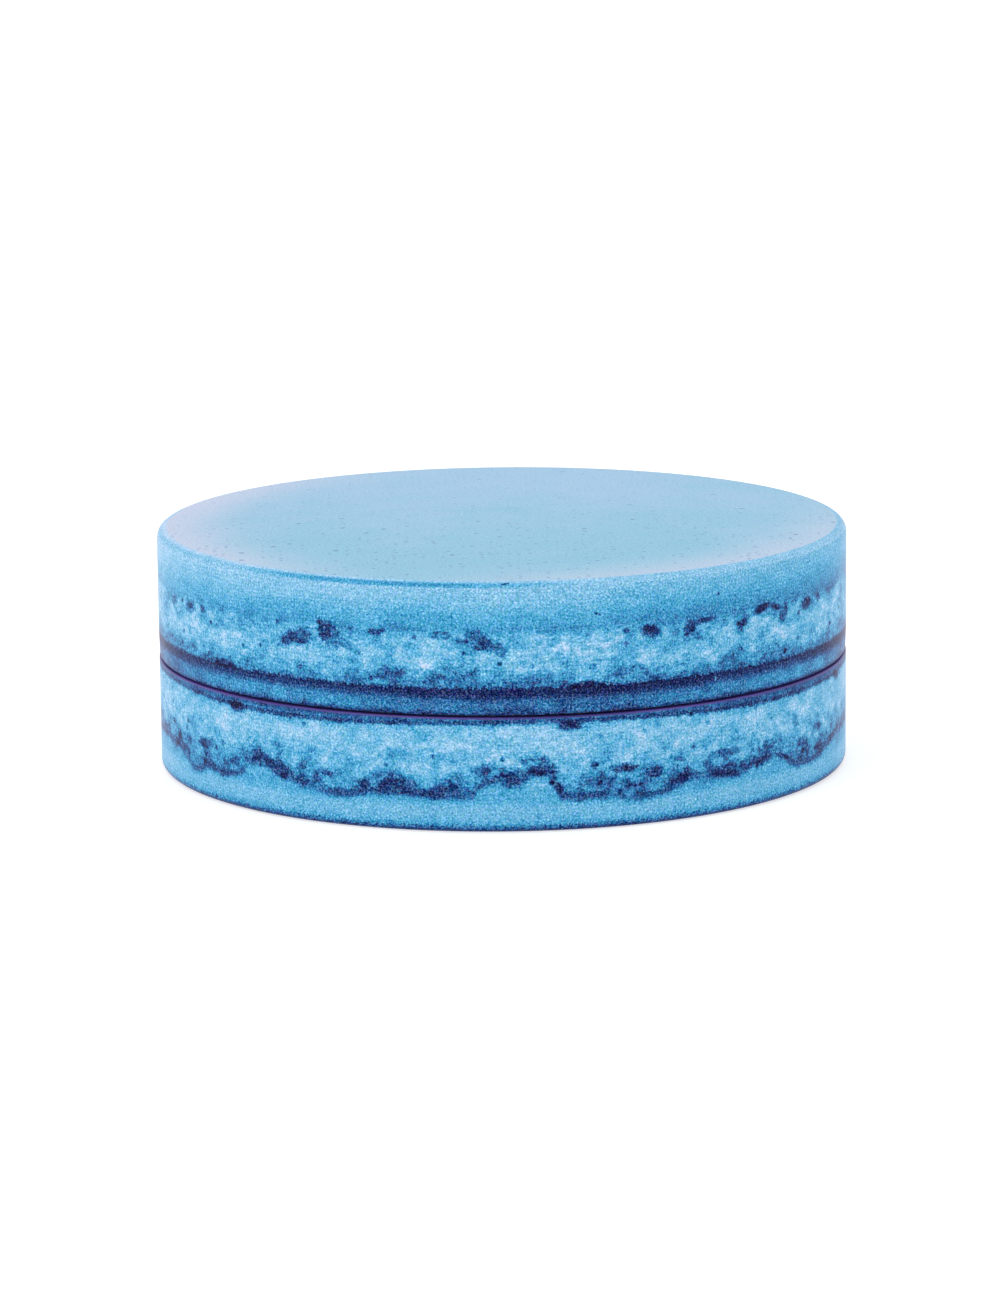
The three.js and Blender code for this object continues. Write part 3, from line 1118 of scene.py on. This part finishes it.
@dataclass
class Casings:
    """The two printed casings."""

    palette: Palette
    wall: float = 2.0
    ledge: float = 0.4
    seat_depth: float = 2.45
    top_round: float = 0.7
    foot_round: float = 0.5
    lip_round: float = 0.1
    lip_extra: float = 0.02
    inner_round: float = 0.04
    ink_width: float = 0.6
    draw_in: float = 0.05
    draw_length: float = 1.4

    # The places of the finishes among a casing's materials.
    SIDE, FACE, LIP, BARE = range(4)

    def upper(self) -> Piece:
        """Makes the upper casing, a printed cup that opens downwards.

        Returns:
            The casing.
        """
        bore, floor, lip = Drum.RADIUS - self.wall, Drum.HEIGHT - self.wall, Drum.LID_LIP
        outline = (
            Corner(0, floor, self.BARE),
            Corner(bore, floor, self.BARE, self.inner_round),
            Corner(bore, lip, self.BARE, self.lip_round),
            Corner(Drum.RADIUS - self.draw_in, lip, self.SIDE, self.lip_round),
            Corner(Drum.RADIUS, lip + self.draw_length, self.SIDE),
            Corner(Drum.RADIUS, Drum.HEIGHT, self.FACE, self.top_round, self.SIDE),
            Corner(0, Drum.HEIGHT, self.FACE),
        )
        piece = TurnedPiece("upper_casing_shell", outline, self.palette.casing).build()
        return tie(piece, Body.LID, Slot.PRINT, "upper_casing")

    def lower(self) -> Piece:
        """Makes the lower casing, a printed cup with a ledge for the slip ring.

        Returns:
            The casing.
        """
        bore, lip = Drum.RADIUS - self.wall, Drum.BASE_LIP
        seat, inner = lip - self.seat_depth, Drum.RADIUS - self.wall - self.ledge
        outline = (
            Corner(0, 0, self.FACE),
            Corner(Drum.RADIUS, 0, self.SIDE, self.foot_round),
            Corner(Drum.RADIUS, lip, self.LIP, self.lip_round + self.lip_extra),
            Corner(Drum.RADIUS - self.ink_width, lip, self.BARE),
            Corner(bore, lip, self.BARE, self.lip_round),
            Corner(bore, seat, self.BARE),
            Corner(inner, seat, self.BARE, self.inner_round),
            Corner(inner, self.wall, self.BARE),
            Corner(0, self.wall, self.BARE),
        )
        piece = TurnedPiece("lower_casing_shell", outline, self.palette.casing).build()
        return tie(piece, Body.BASE, Slot.PRINT, "lower_casing")


@dataclass
class Plates:
    """The two cast plates that carry the teeth and the magnets."""

    palette: Palette
    thickness: float = 1.75
    rim_round: float = 0.2
    post_radius: float = 5.2
    post_foot: float = 0.5
    post_round: float = 0.35
    pocket_radius: float = 4.07
    pocket_depth: float = 2.1
    pocket_round: float = 0.05
    magnet_recess: float = 0.05
    neck_radius: float = 22.2
    neck_bore: float = 20.6
    neck_foot: float = 0.6
    neck_round: float = 0.18
    bead: float = 0.25
    bead_height: float = 0.45
    bead_slope: float = 0.1
    bead_rounds: Point = (0.15, 0.08)
    shoulder_round: float = 0.15

    def lower(self) -> Piece:
        """Makes the lower plate, a disc with a post.

        Returns:
            The plate.
        """
        low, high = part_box("lower_tooth_plate")
        rim, back, post_top = high.x / MM, low.z / MM, high.z / MM
        face = back + self.thickness
        outline = (
            Corner(0, back),
            Corner(rim, back, round=self.rim_round),
            Corner(rim, face, round=self.rim_round),
            Corner(self.post_radius, face, round=self.post_foot),
            Corner(self.post_radius, post_top, round=self.post_round),
            Corner(self.pocket_radius, post_top, round=self.pocket_round),
            Corner(self.pocket_radius, post_top - self.pocket_depth),
            Corner(0, post_top - self.pocket_depth),
        )
        return self._finish("lower_plate", outline, "lower_tooth_plate", Body.BASE)

    def upper(self) -> Piece:
        """Makes the upper plate, a disc with a post and the neck that turns in the slip ring.

        Returns:
            The plate.
        """
        low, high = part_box("upper_tooth_plate")
        rim, back, neck_end = high.x / MM, high.z / MM, low.z / MM
        face, shoulder = back - self.thickness, Drum.LID_LIP
        post_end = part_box("upper_magnet")[0].z / MM - self.magnet_recess
        bead_radius, bead_top = self.neck_radius + self.bead, neck_end + self.bead_height
        outline = (
            Corner(0, post_end + self.pocket_depth),
            Corner(self.pocket_radius, post_end + self.pocket_depth),
            Corner(self.pocket_radius, post_end, round=self.pocket_round),
            Corner(self.post_radius, post_end, round=self.post_round),
            Corner(self.post_radius, face, round=self.post_foot),
            Corner(self.neck_bore, face, round=self.neck_foot),
            Corner(self.neck_bore, neck_end, round=self.neck_round),
            Corner(bead_radius, neck_end, round=self.bead_rounds[0]),
            Corner(bead_radius, bead_top - self.bead_slope, round=self.bead_rounds[1]),
            Corner(self.neck_radius, bead_top),
            Corner(self.neck_radius, shoulder),
            Corner(rim, shoulder, round=self.shoulder_round),
            Corner(rim, back, round=self.rim_round),
            Corner(0, back),
        )
        return self._finish("upper_plate", outline, "upper_tooth_plate", Body.LID)

    def _finish(self, name: str, outline: Sequence[Corner], node: str, body: Body) -> Piece:
        """Turns a plate and ties it to the frame."""
        piece = TurnedPiece(name, outline, (self.palette.plate,), segments=224, round_steps=4).build()
        return tie(piece, body, Slot.PLATE, node)


@dataclass
class Magnets:
    """The two disc magnets."""

    palette: Palette
    edge: float = 0.22

    def build(self, node: str, body: Body) -> Piece:
        """Makes one magnet in the place of its node.

        Args:
            node: The magnet's node in the frame.
            body: The body it belongs to.

        Returns:
            The magnet.
        """
        low, high = (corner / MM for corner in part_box(node))
        outline = (
            Corner(0, low.z),
            Corner(high.x, low.z, round=self.edge),
            Corner(high.x, high.z, round=self.edge),
            Corner(0, high.z),
        )
        piece = TurnedPiece(f"{node}_disc", outline, (self.palette.magnet,), segments=128).build()
        return tie(piece, body, Slot.MAGNET, node)


@dataclass(frozen=True)
class ToothRing:
    """A ring of teeth in four equal groups, each centred between two lanes."""

    node: str
    radius: float
    per_group: int
    step: float

    def sizes(self) -> dict[str, float]:
        """The ring's sizes as the trees name them, in metres and radians."""
        return {"Radius": self.radius * MM, "Per Group": self.per_group, "Step": math.radians(self.step)}


@dataclass
class Teeth:
    """The teeth of both plates: a template tooth set out in rings by geometry nodes."""

    palette: Palette
    half_along: float = 1.9
    half_across: float = 1.4
    length: float = 7.4
    foot: float = 0.12
    shoulder: float = 5.3
    shoulder_share: float = 0.8
    shoulder_reach: float = 0.45
    shoulder_ease: float = 0.012
    tip_share: float = 0.2
    tip_reach: float = 0.3
    tip_edge: float = 0.07
    tip_flat: float = 0.55
    squareness: float = 1.16
    columns: int = 24
    sharp: float = 28.0

    UPPER = (ToothRing("upper_inner_tooth", 8.0, 1, 0.0), ToothRing("upper_outer_tooth", 15.2, 2, 33.0))
    LOWER = (ToothRing("lower_inner_tooth", 11.6, 2, 30.0), ToothRing("lower_outer_tooth", 18.8, 3, 25.0))

    def _rows(self) -> Iterable[Point]:
        """The tooth's outline: a straight body, a soft shoulder and a tip.

        Returns:
            Heights up the tooth, each with the section's share there.
        """
        body = (1 - self.shoulder_share) / self.shoulder
        slope = (self.shoulder_share - self.tip_share) / (self.length - self.shoulder)
        yield 0.0, 1.0
        yield self.foot, 1 - body * self.foot
        for reach, ease in ((self.shoulder_reach, 0.0), (self.shoulder_reach / 3, self.shoulder_ease)):
            yield self.shoulder - reach, self.shoulder_share + body * reach - ease
        for reach, ease in ((self.shoulder_reach / 3, self.shoulder_ease), (self.shoulder_reach, 0.0)):
            yield self.shoulder + reach, self.shoulder_share - slope * reach - ease
        yield self.length - self.tip_reach, self.tip_share + slope * self.tip_reach
        yield self.length - self.tip_edge, self.tip_share
        yield self.length, self.tip_share * self.tip_flat

    def _template(self) -> Piece:
        """One tooth standing on the ground plane, its longer diagonal along Y.

        Returns:
            The template, which is removed once the rings are made.
        """
        power = self.squareness
        vertices: list[tuple[float, float, float]] = []
        for height, share in self._rows():
            for column in range(self.columns):
                angle = TURN * column / self.columns
                across, along = math.cos(angle), math.sin(angle)
                reach = share * MM * (abs(across) ** power + abs(along) ** power) ** (-1 / power)
                across *= reach * self.half_across
                along *= reach * self.half_along
                vertices.append((across, along, height * MM))
        top = len(vertices) - self.columns
        faces: list[tuple[int, ...]] = [tuple(reversed(range(self.columns)))]
        for low in range(0, top, self.columns):
            for column in range(self.columns):
                after = (column + 1) % self.columns
                high = low + self.columns
                faces.append((low + column, low + after, high + after, high + column))
        faces.append(tuple(range(top, top + self.columns)))
        mesh = bpy.data.meshes.new("tooth_template")
        mesh.from_pydata(vertices, [], faces)
        return smooth_object("tooth_template", mesh, self.sharp)

    @staticmethod
    def _ring_tree() -> Tree:
        """The tree that sets one ring of teeth out on points and turns each to face the axis.

        Returns:
            The tree, with named inputs for its sizes.
        """
        inputs = {"Tooth": Kind.GEOMETRY, "Per Group": Kind.INTEGER}
        inputs |= floats("Radius", "Step", "Height", "Tilt")
        graph, given, out = new_tree("tooth_ring", inputs, {"Teeth": Kind.GEOMETRY}, "GeometryNodeTree")
        per_group = given["Per Group"]
        line = graph.add("GeometryNodeMeshLine", {"Count": graph.times(per_group, 4.0)}).outputs[0]
        index = graph.add("GeometryNodeInputIndex").outputs[0]
        group = graph.math("FLOOR", graph.over(index, per_group))
        within = graph.minus(index, graph.times(group, per_group))
        middle = graph.times(graph.minus(per_group, 1.0), 0.5)
        offset = graph.times(graph.minus(within, middle), given["Step"])
        angle = graph.plus(graph.mul_add(group, TURN / 4, TURN / 8), offset)
        flat = (graph.times(given["Radius"], graph.math(wave, angle)) for wave in ("COSINE", "SINE"))
        place = graph.combine(*flat, given["Height"])
        moved = graph.add("GeometryNodeSetPosition", {"Geometry": line, "Position": place}).outputs[0]
        turn = graph.combine(given["Tilt"], 0.0, angle)
        spun = graph.add("FunctionNodeEulerToRotation", {0: turn}).outputs[0]
        inputs = {"Points": moved, "Instance": given["Tooth"], "Rotation": spun}
        graph.feed(out["Teeth"], graph.add("GeometryNodeInstanceOnPoints", inputs).outputs[0])
        return graph.tree

    def _tree(self, rings: Sequence[ToothRing]) -> Tree:
        """The tree that makes every ring of one plate, as plain mesh with its material.

        Args:
            rings: The plate's rings.

        Returns:
            The tree, with named inputs for its sizes.
        """
        inputs = {"Geometry": Kind.GEOMETRY, "Template": Kind.OBJECT, "Material": Kind.MATERIAL}
        inputs |= floats("Height", "Tilt")
        for name, size in ((ring.node, size) for ring in rings for size in ring.sizes()):
            inputs[f"{name} {size}"] = Kind.INTEGER if size == "Per Group" else Kind.FLOAT
        graph, given, out = new_tree("tooth_rings", inputs, {"Geometry": Kind.GEOMETRY}, "GeometryNodeTree")
        template = graph.add("GeometryNodeObjectInfo", {"Object": given["Template"]}).outputs["Geometry"]
        joined = graph.add("GeometryNodeJoinGeometry")
        ring_tree = bpy.data.node_groups.get("tooth_ring") or self._ring_tree()
        for ring in rings:
            sizes = {size: given[f"{ring.node} {size}"] for size in ring.sizes()}
            sizes |= {"Tooth": template, "Height": given["Height"], "Tilt": given["Tilt"]}
            one = graph.add("GeometryNodeGroup", sizes, node_tree=ring_tree)
            graph.feed(joined.inputs[0], one.outputs[0])
        graph.feed(out["Geometry"], dress(graph, joined.outputs[0], given["Material"]))
        return graph.tree

    def build(self, name: str, rings: Sequence[ToothRing], body: Body) -> Piece:
        """Makes all the teeth of one plate.

        Args:
            name: The piece's name.
            rings: The plate's rings.
            body: The body that the teeth belong to.

        Returns:
            The teeth as one piece.
        """
        low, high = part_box(f"{rings[0].node}_1")
        template = self._template()
        sizes = {"Template": template, "Material": self.palette.tooth}
        if body is Body.LID:
            sizes |= {"Height": low.z + self.length * MM, "Tilt": math.pi}
        else:
            sizes |= {"Height": high.z - self.length * MM, "Tilt": 0.0}
        for ring in rings:
            sizes |= {f"{ring.node} {size}": value for size, value in ring.sizes().items()}
        mesh = mesh_from_nodes(name, self._tree(rings), sizes)
        bpy.data.objects.remove(template)
        nodes = (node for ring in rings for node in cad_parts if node.startswith(ring.node))
        return tie(smooth_object(name, mesh, self.sharp), body, Slot.TOOTH, *nodes)


@dataclass
class SlipRing:
    """The split plastic band on the upper plate's neck."""

    palette: Palette
    inner_radius: float = 22.25
    slit: float = 1.4
    edge: float = 0.14
    edge_steps: int = 4
    steps: int = 240

    def _tree(self) -> Tree:
        """The tree that sweeps a rounded section along the open ring.

        Returns:
            The tree, with named inputs for its sizes.
        """
        inputs = {"Geometry": Kind.GEOMETRY, "Steps": Kind.INTEGER, "Material": Kind.MATERIAL}
        inputs |= floats("Radius", "Start Angle", "Sweep Angle")
        inputs |= floats("Thickness", "Width", "Edge", "Middle Height")
        graph, size, out = new_tree("open_ring", inputs, {"Geometry": Kind.GEOMETRY}, "GeometryNodeTree")
        route = {name: size[name] for name in ("Radius", "Start Angle", "Sweep Angle")}
        route["Resolution"] = size["Steps"]
        path = graph.add("GeometryNodeCurveArc", route, mode="RADIUS").outputs[0]
        sides = {"Width": size["Thickness"], "Height": size["Width"]}
        section = graph.add("GeometryNodeCurvePrimitiveQuadrilateral", sides).outputs[0]
        edges = {"Curve": section, "Radius": size["Edge"], "Count": self.edge_steps}
        softened = graph.add("GeometryNodeFilletCurve", edges, mode="POLY").outputs[0]
        curves = {"Curve": path, "Profile Curve": softened, "Fill Caps": True}
        swept = graph.add("GeometryNodeCurveToMesh", curves).outputs[0]
        lift = {"Geometry": swept, "Translation": graph.combine(z=size["Middle Height"])}
        moved = graph.add("GeometryNodeTransform", lift).outputs[0]
        graph.feed(out["Geometry"], dress(graph, moved, size["Material"]))
        return graph.tree

    def build(self) -> Piece:
        """Makes the ring in the place of its node.

        Returns:
            The ring.
        """
        low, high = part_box("slip_ring")
        outer, inner = -low.x, self.inner_radius * MM
        half = self.slit * MM / 2 / outer
        sizes = {
            "Radius": (inner + outer) / 2,
            "Thickness": outer - inner,
            "Width": high.z - low.z,
            "Middle Height": (low.z + high.z) / 2,
            "Edge": self.edge * MM,
            "Start Angle": half,
            "Sweep Angle": TURN - 2 * half,
            "Steps": self.steps,
            "Material": self.palette.ring,
        }
        mesh = mesh_from_nodes("slip_ring_band", self._tree(), sizes)
        return tie(smooth_object("slip_ring_band", mesh), Body.RING, Slot.RING, "slip_ring")


# ---------------------------------------------------------------- studio


@dataclass(frozen=True)
class Softbox:
    """A square area light that points at the drum, in metres and watts."""

    name: str
    place: tuple[float, float, float]
    side: float
    power: float

    def build(self, target: Vector) -> None:
        """Makes the light.

        Args:
            target: The point that it faces.
        """
        lamp = bpy.data.lights.new(self.name, "AREA")
        lamp.shape = "SQUARE"
        lamp.size = self.side
        lamp.energy = self.power
        holder = put(self.name, lamp)
        holder.location = self.place
        holder.rotation_euler = (target - Vector(self.place)).to_track_quat("-Z", "Y").to_euler()


@dataclass
class Studio:
    """The floor, the soft light and the camera, in metres and degrees."""

    elevation: float = 11.1
    distance: float = 0.3632
    lens: float = 137.8
    roll: float = 0.57
    aim_side: float = -0.0002
    aim_rise: float = -0.0009
    clip: Point = (0.01, 50.0)
    floor_size: float = 12.0
    floor_drop: float = 2e-5
    floor_glow: float = 0.6
    room: Colour = (0.98, 0.985, 1.0)
    room_light: Point = (0.36, 0.92)
    backdrop: float = 1.05
    lights: tuple[Softbox, ...] = (
        Softbox("key", (-0.75, -0.8, 0.9), 0.7, 5.7),
        Softbox("fill", (0.9, -0.7, 0.6), 0.8, 2.45),
        Softbox("overhead", (0.0, 0.15, 1.2), 1.0, 3.25),
    )

    def floor(self) -> None:
        """Lays a plain pale floor just under the drum, clear from below."""
        half, low = self.floor_size / 2, -self.floor_drop
        mesh = bpy.data.meshes.new("floor")
        corners = [(-half, -half, low), (half, -half, low), (half, half, low), (-half, half, low)]
        mesh.from_pydata(corners, [], [(0, 1, 2, 3)])
        pale = bpy.data.materials.new("floor_white")
        pale.use_nodes = True
        pale.cycles.emission_sampling = "NONE"
        graph = Graph(pale.node_tree)
        shader = graph.find("BSDF_PRINCIPLED")
        plain = {
            "Base Color": (0.6, 0.6, 0.6),
            "Roughness": 0.9,
            "Specular IOR Level": 0.1,
            "Emission Color": (1.0, 1.0, 1.0),
            "Emission Strength": self.floor_glow,
        }
        for key, value in plain.items():
            graph.feed(shader.inputs[key], value)
        clear = graph.add("ShaderNodeBsdfTransparent").outputs[0]
        below = graph.add("ShaderNodeNewGeometry").outputs["Backfacing"]
        seen = graph.add("ShaderNodeMixShader", {0: below, 1: shader.outputs[0], 2: clear})
        graph.feed(graph.find("OUTPUT_MATERIAL").inputs["Surface"], seen.outputs[0])
        mesh.materials.append(pale)
        put("floor", mesh)

    def world(self) -> None:
        """Lights the room white behind the drum and dimmer on the camera's side, on a plain white ground."""
        made = bpy.data.worlds.new("room")
        made.use_nodes = True
        graph = Graph(made.node_tree)
        background = graph.find("BACKGROUND").inputs
        _, depth, _ = graph.split(graph.add("ShaderNodeTexCoord").outputs["Generated"])
        light = graph.spread(depth, -0.7, 0.6, self.room_light)
        seen = graph.add("ShaderNodeLightPath").outputs["Is Camera Ray"]
        graph.feed(background["Strength"], graph.math("MAXIMUM", light, graph.times(seen, self.backdrop)))
        graph.feed(background["Color"], self.room)
        bpy.context.scene.world = made

    def camera(self, middle: Vector) -> None:
        """Sets the camera in front of the drum, a little above it.

        Args:
            middle: The middle of the drum.
        """
        tilt = math.radians(self.elevation)
        place = middle + self.distance * Vector((0, -math.cos(tilt), math.sin(tilt)))
        aim = middle + Vector((self.aim_side, 0, self.aim_rise))
        data = bpy.data.cameras.new("camera")
        data.lens = self.lens
        data.clip_start, data.clip_end = self.clip
        holder = put("camera", data)
        holder.location = place
        facing = (aim - place).to_track_quat("-Z", "Y").to_matrix().to_4x4()
        holder.rotation_euler = (facing @ Matrix.Rotation(-math.radians(self.roll), 4, "Z")).to_euler()
        bpy.context.scene.camera = holder

    def build(self) -> None:
        """Builds the whole studio."""
        middle = Vector((0, 0, Drum.HEIGHT * MM / 2))
        self.floor()
        self.world()
        for light in self.lights:
            light.build(middle)
        self.camera(middle)
        view = bpy.context.scene.view_settings
        view.view_transform = "Standard"
        view.look = "None"


def write_sizes() -> None:
    """Updates the view layer."""
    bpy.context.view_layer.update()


def main() -> None:
    """Builds the studio, then the crusher piece by piece."""
    logging.basicConfig(level=logging.INFO, format="%(name)s: %(message)s")
    Studio().build()
    palette = Palette()
    casings, plates, magnets, teeth = (part(palette) for part in (Casings, Plates, Magnets, Teeth))
    makers = (
        casings.lower,
        casings.upper,
        plates.lower,
        plates.upper,
        lambda: magnets.build("lower_magnet", Body.BASE),
        lambda: magnets.build("upper_magnet", Body.LID),
        lambda: teeth.build("lower_teeth", Teeth.LOWER, Body.BASE),
        lambda: teeth.build("upper_teeth", Teeth.UPPER, Body.LID),
        SlipRing(palette).build,
    )
    for make in makers:
        piece = make()
        LOG.info("%s: %d faces", piece.name, len(piece.data.polygons))
    write_sizes()


if __name__ == "__main__":
    main()
